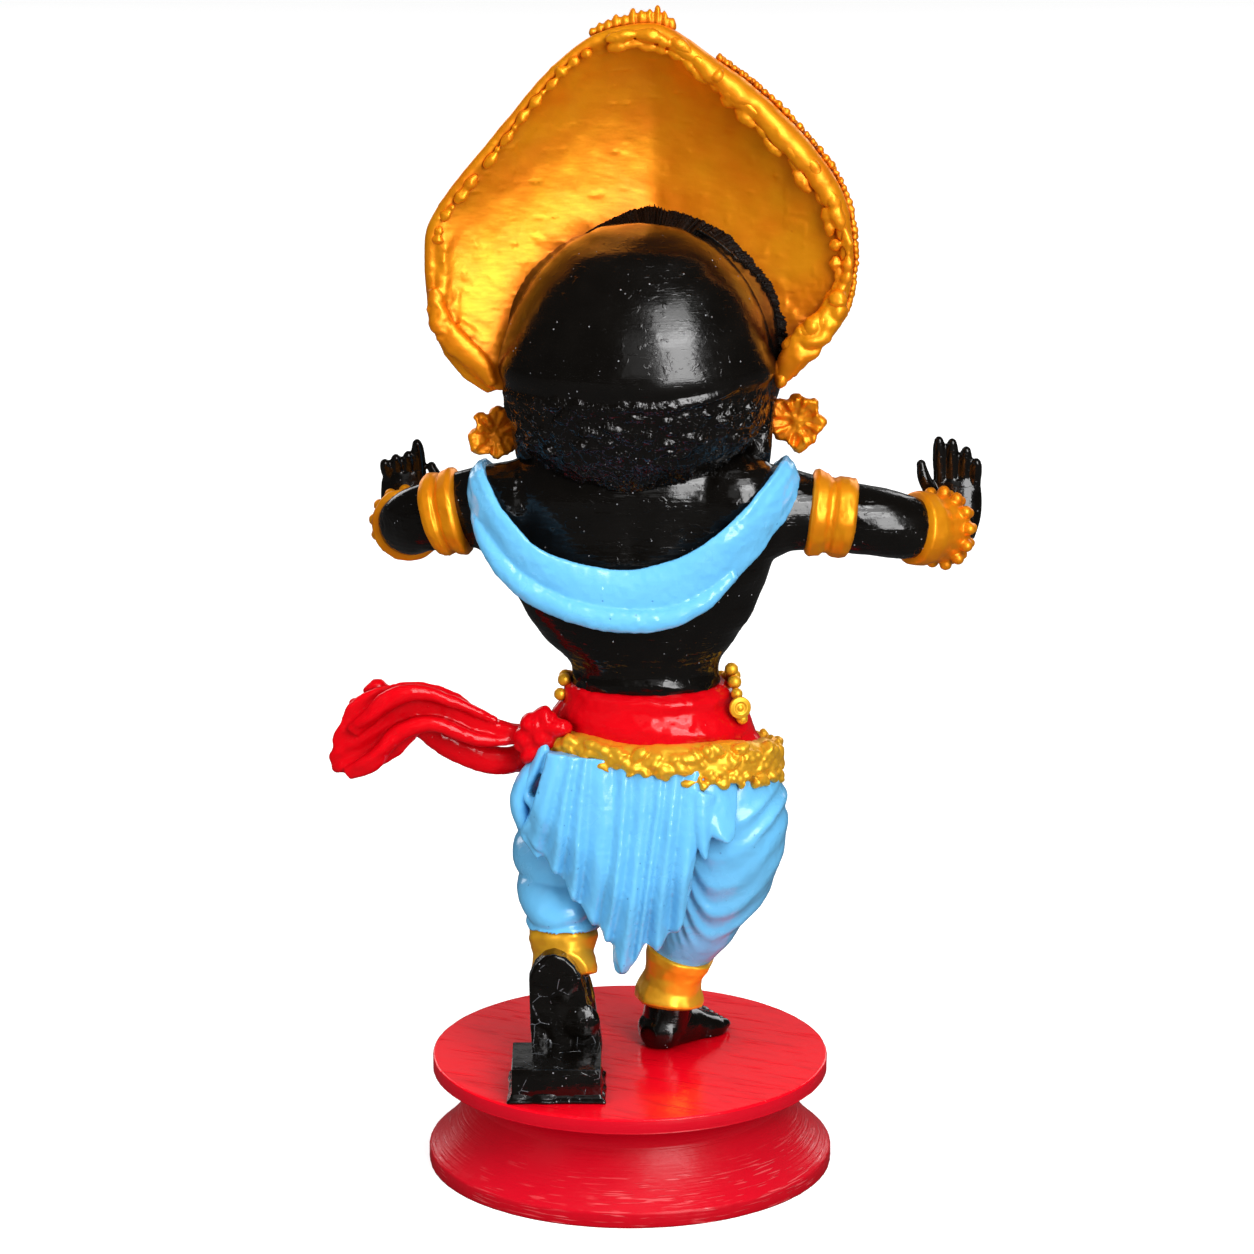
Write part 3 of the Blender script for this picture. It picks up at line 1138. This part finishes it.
# Trousers

STANDING_LEG = [
    (70, 4, 304, 58, 58), (85, 4, 270, 65, 70), (89, 4, 236, 66, 70), (83, 8, 196, 62, 64),
    (71, 12, 162, 54, 56), (60, 17, 128, 44, 47), (50, 22, 98, 32, 34), (43, 25, 70, 27, 29),
    (38, 27, 44, 25, 26), (35, 20, 14, 22, 23),
]
RAISED_LEG = [
    (-28, 8, 296, 62, 62), (-46, 36, 262, 54, 60), (-62, 62, 222, 44, 50), (-67, 40, 190, 42, 46),
    (-66, 4, 168, 40, 42), (-66, -20, 145, 34, 36), (-65, -34, 118, 30, 30), (-63, -44, 86, 25, 25),
]
PELVIS = [
    (222, 26, 8, 84, 58), (246, 24, 5, 118, 76), (268, 22, 4, 129, 82), (294, 24, 4, 121, 79),
    (318, 26, 4, 100, 67), (340, 22, 4, 84, 58),
]
APRON_FEET = [
    (-104, 243), (-92, 229), (-78, 213), (-67, 202), (-57, 184), (-47, 170), (-36, 154), (-26, 146),
    (-18, 132), (-12, 112), (-5, 107), (2, 109), (7, 122), (16, 134), (28, 133), (38, 143), (50, 156),
    (60, 190),
]
# Shares of the apron's width where its valleys run, and how far each pleat between them stands out
APRON_VALLEYS = [0, 0.12, 0.22, 0.31, 0.43, 0.53, 0.66, 0.75, 0.87, 1]
APRON_PLEATS = [0.7, 0.9, 1, 0.65, 1, 0.8, 0.7, 1, 0.8]


def crest(phase):
    """A row of rounded crests with narrow valleys, 0 to 1."""
    return np.sqrt(np.abs(np.sin(np.pi * phase)) + 0.02)


def hip_folds(p):
    """Folds that hang in arcs round the standing leg, steep beside the apron and slack at the hip."""
    x = p[..., 0]
    hang = 0.050 * np.maximum(0, 84 - x) ** 2 + 0.010 * np.maximum(0, x - 84) ** 2
    phase = (p[..., 2] - hang + 9 * grain(p * [1, 1, 0.4], 50, 41)) / 29
    deep = 0.25 + 0.75 * step(-0.5, 0.5, grain(p * [0.5, 1, 1], 45, 45))
    right = step(24, 60, x) * step(300, 262, p[..., 2]) * step(102, 140, p[..., 2])
    return right * deep * (6 * np.sin(np.pi * phase) ** 2 * crest(phase) - 3)


def shin_puffs(p):
    phase = (p[..., 2] - 0.12 * p[..., 0] + 7 * grain(p, 40, 42) + 6) / 33
    return (9 * crest(phase) - 5) * step(128, 144, p[..., 2]) * step(262, 236, p[..., 2])


def apron_point(u, v):
    foot_x = APRON_FEET[0][0] + (APRON_FEET[-1][0] - APRON_FEET[0][0]) * u
    wander = u + 0.03 * np.sin(2.6 * v + 7 * u) * np.sin(np.pi * u)
    phase = np.interp(wander, APRON_VALLEYS, np.arange(len(APRON_VALLEYS)))
    stand = np.interp(phase, np.arange(len(APRON_PLEATS)) + 0.5, APRON_PLEATS)
    ridge = stand * (0.25 * crest(phase) + 0.75 * np.sin(np.pi * phase) ** 2)
    foot_z = through(APRON_FEET, foot_x)[..., 0] + 5 * (0.5 - ridge)
    top_x = -80 + 152 * u
    top_z = through(BELT_HEIGHT, top_x)[..., 0] - 2
    x = top_x + (foot_x - top_x) * v ** 1.1
    z = top_z + (foot_z - top_z) * v
    across = 1 - ((x - 20) / 150) ** 2
    place = np.stack([x, 0 * x, 0.35 * z], -1)
    sag = 9 * np.sin(np.minimum(1, 1.5 * v) * 1.6)
    y = -52 - 26 * across - sag - (4 + 8 * v) * ridge - 3 * grain(place, 26, 46)
    turned_in = 1 - np.sqrt(1 - np.clip((v - 0.95) / 0.05, 0, 1) ** 2)
    return np.stack([x, y + 14 * step(0.6, 1, v) + 7 * turned_in, z], -1)


def apron():
    down = np.concatenate([np.linspace(0, 0.95, 90), np.linspace(0.956, 1, 14)])
    u, v = np.meshgrid(np.linspace(0, 1, 420), down)
    front = apron_point(u, v)
    back = front + [0, 15, 0]
    back[..., 2] += 2 * v
    forms = [
        sheet(front, back),
        limb(
            [(-82, -44, 334, 6, 12), (-91, -48, 312, 6, 13), (-101, -46, 286, 6, 11), (-92, -52, 270, 6, 12),
             (-95, -52, 258, 6, 12), (-103, -46, 244, 5, 8), (-95, -51, 231, 5, 6), (-88, -54, 220, 4, 5)],
            90, 30),
        limb(
            [(-9, -72, 160, 7, 8), (-8, -68, 134, 9, 9), (-8, -66, 118, 9, 8.5), (-8, -66, 110, 7.5, 7.5)],
            30, 24),
        ball((-8, -66, 110), (7.6, 7.6, 7)),
        corner([(58, -80, 306, 104, -58, 306), (64, -86, 276, 104, -68, 278), (74, -87, 258, 103, -75, 258),
                (82, -86, 248, 102, -78, 248), (92, -83, 243, 100, -80, 243)]),
        corner([(58, -84, 300, 82, -82, 290), (62, -89, 262, 80, -85, 262), (67, -90, 238, 77, -86, 240),
                (71, -89, 228, 76, -87, 230)]),
    ]
    obj = cast(piece("apron", forms, BLUE), 1.4, 6)
    raised(obj, lambda p, n: 0.6 * grain(p * [1, 1, 0.4], 9, 43) + 0.3 * grain(p, 4, 44))


def corner(points):
    """A loose corner of cloth, 16 parts deep, from rows of its left and right edges, top to bottom."""
    rows = through(numbered(points), np.linspace(0, len(points) - 1, 30))
    share = np.linspace(0, 1, 16)[None]
    left, right = rows[:, None, 0:3], rows[:, None, 3:6]
    front = left + (right - left) * share[..., None]
    front[..., 1] += 3 - 6 * np.sin(np.pi * share)
    return sheet(front, front + [0, 16, 0])


def trousers():
    forms = [
        limb(STANDING_LEG[:8], 150, 130, relief=hip_folds),
        limb(RAISED_LEG[:6] + [(-66, -24, 134, 29, 31)], 130, 110, (1, 0, 0), relief=shin_puffs),
        stack(PELVIS, 60, 180, hip_folds), front_pleats(),
        limb(
            [(-70, -34, 322, 9, 10), (-94, -44, 306, 9, 12), (-108, -44, 280, 9, 13),
             (-104, -42, 254, 9, 12), (-96, -40, 238, 4, 6)], 50, 30),
    ]
    obj = cast(piece("trousers", forms, BLUE), 1.7, 7)
    raised(obj, lambda p, n: 0.5 * grain(p, 14, 43) + 0.25 * grain(p, 5, 44))


def front_pleats():
    """Plain pleats down the front, with a gold hem of their own."""
    u, v = np.meshgrid(np.linspace(0, 1, 120), np.linspace(0, 1, 70))
    x = -22 + 88 * u + 16 * v * (u - 0.5)
    z = 322 + (122 + 120 * np.abs(u - 0.5) - 322) * v
    y = 72 + 18 * np.sin(np.pi * np.minimum(1, 0.25 + v)) + 7 * crest(5 * u)
    front = np.stack([x, y, z], -1)
    return sheet(front[:, ::-1], (front - [0, 14, 0])[:, ::-1])


def cuff(keys, profile, outward, name, seed, rear=-np.inf):
    """A gold cuff along a leg; nothing of it lies behind rear."""
    shares = np.linspace(profile[0][0], profile[-1][0], 56)
    swell = np.interp(shares, [r[0] for r in profile], [r[1] for r in profile])
    points, faces = limb(
        keys, 0, 80, outward, np.column_stack([shares, swell]),
        relief=lambda p: 1.8 * grain(p * [1, 1, 0.6], 15, seed) + 0.7 * grain(p, 6, seed + 1))
    points[:, 1] = np.maximum(points[:, 1], rear)
    cast(piece(name, [(points, faces)], GOLD), 1.3, 3)


def cuffs():
    cuff(STANDING_LEG, [(0.655, 0.9), (0.662, 1.1), (0.70, 1.16), (0.76, 1.08), (0.80, 1.12), (0.855, 1.36),
                        (0.89, 1.4), (0.90, 1.2), (0.915, 1.03), (0.92, 0.8)], (0, -1, 0), "cuff_right", 51)
    ankle = [(-67, -18, 140, 29, 32), (-66, -24, 122, 30, 31), (-65, -31, 104, 31, 30),
             (-64, -36, 90, 30, 28)]
    cuff(ankle, [(0, 0.8), (0.03, 1.02), (0.25, 1.1), (0.5, 0.96), (0.8, 1.12), (0.96, 1.14), (1, 0.8)],
         (1, 0, 0), "cuff_left", 53, rear=-57)


# Feet and their supports

FOOT_TURN = math.radians(-43)
HEEL = np.array([33, 20, 0])


def turned_foot(keys, steps, sides):
    """A level tube along the foot; each key row is y, x, z, half width, half height."""
    y = np.linspace(keys[0][0], keys[-1][0], steps + 1)
    x, z, width, height = (column[:, None] for column in through(keys, y).T)
    turn = full_turn(sides)[None]
    rings = np.stack([x + width * np.cos(turn), y[:, None] + 0 * turn, z + height * np.sin(turn)], -1)
    points, faces = skin(rings[:, ::-1])
    c, s = math.cos(FOOT_TURN), math.sin(FOOT_TURN)
    turned = points @ np.array([[c, s, 0], [-s, c, 0], [0, 0, 1]]) + HEEL
    turned[:, 2] = np.maximum(turned[:, 2], 0)
    return turned, faces


def standing_foot():
    forms = [
        turned_foot([(-22, 0, 14, 11, 11), (-14, 0, 15, 21, 18), (4, 0, 17, 22, 24), (34, 1, 10, 22, 22),
                     (58, 2, 4, 26, 18), (70, 2, 3, 22, 13)], 50, 48),
        limb(STANDING_LEG[-3:], 20, 40),
    ]
    for k, x in enumerate((-19, -9, 0, 9, 18)):
        size = 7.4 if k == 0 else 6
        forms.append(turned_foot(
            [(56, x + 1, 7, size, size), (74 - 2.2 * k, x, 7, size, size),
             (84 - 2.6 * k, x, 7, size * 0.9, size * 0.9), (89 - 2.6 * k, x, 6, size * 0.4, size * 0.4)],
            16, 18))
    obj = cast(piece("standing_foot", forms, BLACK), 1.4, 3)
    raised(obj, lambda p, n: 1.5 * grain(p * [1, 1, 0.6], 13, 61) * step(0, 6, p[:, 2]))


def raised_foot():
    outline = np.array(
        [(-95, 0), (-98, 50), (-99, 100), (-93, 114), (-84, 123), (-74, 126), (-63, 122), (-54, 113),
         (-48, 101), (-44, 88), (-42, 74), (-35, 60), (-29, 46), (-27, 30), (-30, 0)], float)
    middle = outline.mean(0)
    rings = []
    for y, share in ((-50, 0.9), (-52, 1), (-70, 1), (-72.5, 0.97), (-73, 0.93)):
        flat = middle + (outline - middle) * share
        rings.append(np.column_stack([flat[:, 0], np.full(len(flat), y), flat[:, 1]]))
    forms = [
        skin(rings),
        limb([(-65, -46, 102, 20, 14), (-65, -43, 90, 26, 20), (-62, -38, 60, 29, 22), (-61, -24, 28, 29, 18),
              (-61, 0, 10, 27, 11), (-61, 12, 8, 24, 9)], 60, 44),
        ball((-64, -68, 92), (19, 7, 22)), ball((-48, -69, 54), (19, 9, 20)),
    ]
    for k, x in enumerate((-20, -10, 0, 10, 20)):
        size = (6, 6, 6.2, 6.4, 8)[k]
        forms.append(limb(
            [(-61 + x, -4, 10, size, size), (-61 + x, 16, 8, size, size), (-61 + x, 26, 7, size, size),
             (-61 + x, 31, 6, 0.4 * size, 0.4 * size)], 18, 18, UP))
    forms = [(np.maximum(points, [-np.inf, -np.inf, 0]), faces) for points, faces in forms]
    obj = cast(piece("raised_foot", forms, SOLE_BLACK), 1.3, 3)

    def facets(p, n):
        rear = step(-0.3, -0.8, n[:, 1])
        crackle = 2.4 * np.abs(grain(p * [1, 0.2, 1], 22, 62)) + 0.5 * np.abs(grain(p * [1, 0.2, 1], 8, 63))
        return rear * (crackle - 1)

    raised(obj, facets)


BLOCK = {"left": -115, "right": -28, "back": -149, "front": -70, "height": 34}


def foot_block():
    low = (BLOCK["left"], BLOCK["back"], 0)
    high = (BLOCK["right"], BLOCK["front"], BLOCK["height"])
    obj = piece("foot_block", [bar(low, high)], SOLE_BLACK, smooth=False)
    bevel = obj.modifiers.new("edges", "BEVEL")
    bevel.width = 1.1 * PART
    bevel.segments = 3
    apply_modifiers(obj)
    turn = full_turn(300)
    box = np.maximum(np.abs(np.cos(turn)), np.abs(np.sin(turn)))
    cx, cy = (low[0] + high[0]) / 2, (low[1] + high[1]) / 2
    half_x, half_y = (high[0] - low[0]) / 2, (high[1] - low[1]) / 2
    rings = []
    for z, grow in ((0, 4), (1.6, 4.6), (3.2, 3.6), (4.6, 1.6), (6, 0.8), (8, 0.5), (10, -1)):
        x = cx + (half_x + grow) * np.cos(turn) / box
        y = cy + (half_y + grow) * np.sin(turn) / box
        rings.append(np.stack([x, y, 0 * turn + z], -1))
    rings = np.array(rings)
    ragged = 1.1 * grain(rings * [1, 1, 0.5], 14, 64) + 0.3 * grain(rings, 5, 65)
    rings[..., :2] += unit(rings[..., :2] - [cx, cy]) * ragged[..., None]
    rings[1:-1, :, 2] += 0.8 * grain(rings[1:-1], 12, 66)
    piece("block_lip", [skin(rings)], BLACK)


# Shawl

SHAWL = [
    (-108, 66, 520, 20, 7), (-130, 50, 560, 20, 7), (-146, 12, 586, 18, 7), (-147, -26, 582, 20, 8),
    (-127, -58, 552, 22, 8), (-90, -74, 515, 23, 8), (-40, -81, 496, 25, 8), (10, -82, 492, 26, 8),
    (60, -79, 505, 28, 8), (104, -70, 538, 27, 8), (138, -48, 574, 25, 8), (156, -14, 593, 20, 7),
    (142, 40, 570, 17, 7), (118, 62, 526, 18, 7),
]
SHAWL_UNDER = [
    (-150, -24, 572, 5, 5), (-139, -50, 541, 10, 9), (-108, -70, 503, 12, 10), (-62, -82, 479, 12, 10),
    (-12, -87, 469, 12, 10), (34, -86, 470, 11, 9), (72, -80, 486, 9, 8), (100, -72, 512, 6, 6),
]


def shawl_out(p):
    return np.array([p[0] - 5, p[1] * 1.6, max(0, p[2] - 560) * 1.6])


def shawl():
    def wrinkled(share, turn):
        ends = step(0.35, 0.2, share) + step(0.68, 0.8, share)
        return 1 + 0.02 * np.cos(5 * turn) + 0.05 * ends * np.cos(9 * turn + 4 * share)

    forms = [
        limb(SHAWL, 320, 72, shawl_out, flute=wrinkled),
        limb(SHAWL_UNDER, 220, 40, shawl_out),
    ]
    obj = cast(piece("shawl", forms, BLUE), 1.4, 4)
    raised(obj, lambda p, n: 0.9 * grain(p, 16, 71) + 0.45 * grain(p, 6, 72) + 0.2 * grain(p, 3, 73))


plinth()
body()
hands()
head()
face()
crown()
crown_trim()
crown_seat()
crown_jewels()
earring("earring_left", -130, 12, 629, 25, 0.4)
earring("earring_right", 161, 12, 641, 27, -0.1)
arm_gold()
garland()
waist_chain()
belt()
sash()
trousers()
apron()
cuffs()
standing_foot()
raised_foot()
foot_block()
shawl()
for dense in PIECES:
    if dense.name != "plinth_spool" and len(dense.data.polygons) > DENSE_FACES:
        thinned(dense, SHARE_KEPT)


# Floor, light and camera

FLOOR_GLOW = 0.5
FLOOR_FELT = (0.30, 0.30, 0.30)
FLOOR_MIRRORED = (0.05, 0.05, 0.05)
WORLD_SEEN, WORLD_FELT, WORLD_MIRRORED = 1.0, 0.34, 0.03
LIGHTS_AIM = Vector((0, 0, 0.15))


def as_seen(tree, seen, felt, mirrored):
    """A shader that camera rays see as one thing, glossy paint mirrors as another and the rest feels
    as a third."""
    path = tree.nodes.new("ShaderNodeLightPath")
    shown = felt
    for ray, shader in (("Is Glossy Ray", mirrored), ("Is Camera Ray", seen)):
        mix = tree.nodes.new("ShaderNodeMixShader")
        tree.links.new(path.outputs[ray], mix.inputs[0])
        tree.links.new(shown, mix.inputs[1])
        tree.links.new(shader, mix.inputs[2])
        shown = mix.outputs[0]
    return shown


def floor():
    mesh = mesh_of("floor", np.array([[-6, -6, 0], [6, -6, 0], [6, 6, 0], [-6, 6, 0]], float),
                   np.array([[0, 1, 2], [0, 2, 3]]), False)
    obj = bpy.data.objects.new("floor", mesh)
    bpy.context.scene.collection.objects.link(obj)
    paint = Paint("floor_white")
    cloud = paint.noise(400, 1)
    obj.data.materials.append(paint.finish(
        paint.mix((0.80, 0.80, 0.80), (0.82, 0.82, 0.82), cloud), 0.9, cloud, 0.01,
        **{"Emission Color": (1, 1, 1), "Emission Strength": FLOOR_GLOW}))
    felt, mirrored = (paint.node("ShaderNodeBsdfDiffuse", None, {"Color": grey}).outputs[0]
                      for grey in (FLOOR_FELT, FLOOR_MIRRORED))
    shown = as_seen(paint.tree, paint.shader.outputs[0], felt, mirrored)
    paint.feed(paint.tree.nodes["Material Output"], {"Surface": shown})


def softbox(name, bearing, elevation, distance, size, power, mirrored=True):
    """A rectangular light; bearing is degrees round from the camera's side towards +X. A light
    that isn't mirrored brightens the paint without showing as a highlight on it."""
    a, e = math.radians(bearing), math.radians(elevation)
    data = bpy.data.lights.new(name, "AREA")
    data.shape = "RECTANGLE"
    data.size, data.size_y = size
    data.energy = power
    obj = bpy.data.objects.new(name, data)
    obj.location = LIGHTS_AIM + distance * Vector(
        (math.sin(a) * math.cos(e), -math.cos(a) * math.cos(e), math.sin(e)))
    obj.rotation_mode = "QUATERNION"
    obj.rotation_quaternion = (LIGHTS_AIM - obj.location).to_track_quat("-Z", "Y")
    obj.visible_glossy = mirrored
    bpy.context.scene.collection.objects.link(obj)


def lights():
    softbox("key", 30, 18, 1.2, (0.52, 0.88), 12)
    softbox("key_high", 30, 42, 1.2, (0.60, 0.5), 4)
    softbox("glow", 0, 24, 1.3, (0.40, 0.8), 0.4)
    softbox("fill", -60, 26, 1.5, (0.6, 0.9), 4.6, False)
    softbox("low_left", -35, 4, 1.4, (0.5, 0.4), 5, False)
    softbox("top", 0, 80, 1.2, (1.0, 0.9), 8.5, False)
    softbox("backdrop", 180, 16, 1.8, (2.6, 0.5), 1.1)
    softbox("front_left", 152, 17, 1.8, (0.7, 0.9), 4)
    softbox("front_right", 208, 17, 1.8, (0.7, 0.9), 4)
    world = bpy.data.worlds.new("studio")
    world.use_nodes = True
    tree = world.node_tree
    shades = []
    for strength in (WORLD_SEEN, WORLD_FELT, WORLD_MIRRORED):
        shade = tree.nodes.new("ShaderNodeBackground")
        shade.inputs["Color"].default_value = (1, 1, 1, 1)
        shade.inputs["Strength"].default_value = strength
        shades.append(shade.outputs[0])
    tree.links.new(as_seen(tree, *shades), tree.nodes["World Output"].inputs["Surface"])
    bpy.context.scene.world = world
    bpy.context.scene.view_settings.view_transform = "Standard"


PHOTO_SIZE = 1254
FOCAL_PIXELS = 5500
PHOTO_MIDDLE_X = 630
CAMERA_PLACE = (0, -1.291, 0.4975)
CAMERA_DIP = 15.604


def camera():
    data = bpy.data.cameras.new("camera")
    data.sensor_width = 36
    data.lens = FOCAL_PIXELS / PHOTO_SIZE * data.sensor_width
    data.shift_x = (PHOTO_SIZE / 2 - PHOTO_MIDDLE_X) / PHOTO_SIZE
    data.clip_start, data.clip_end = 0.05, 40
    obj = bpy.data.objects.new("camera", data)
    obj.location = CAMERA_PLACE
    obj.rotation_euler = (math.radians(90 - CAMERA_DIP), 0, 0)
    bpy.context.scene.collection.objects.link(obj)
    bpy.context.scene.camera = obj


floor()
lights()
camera()
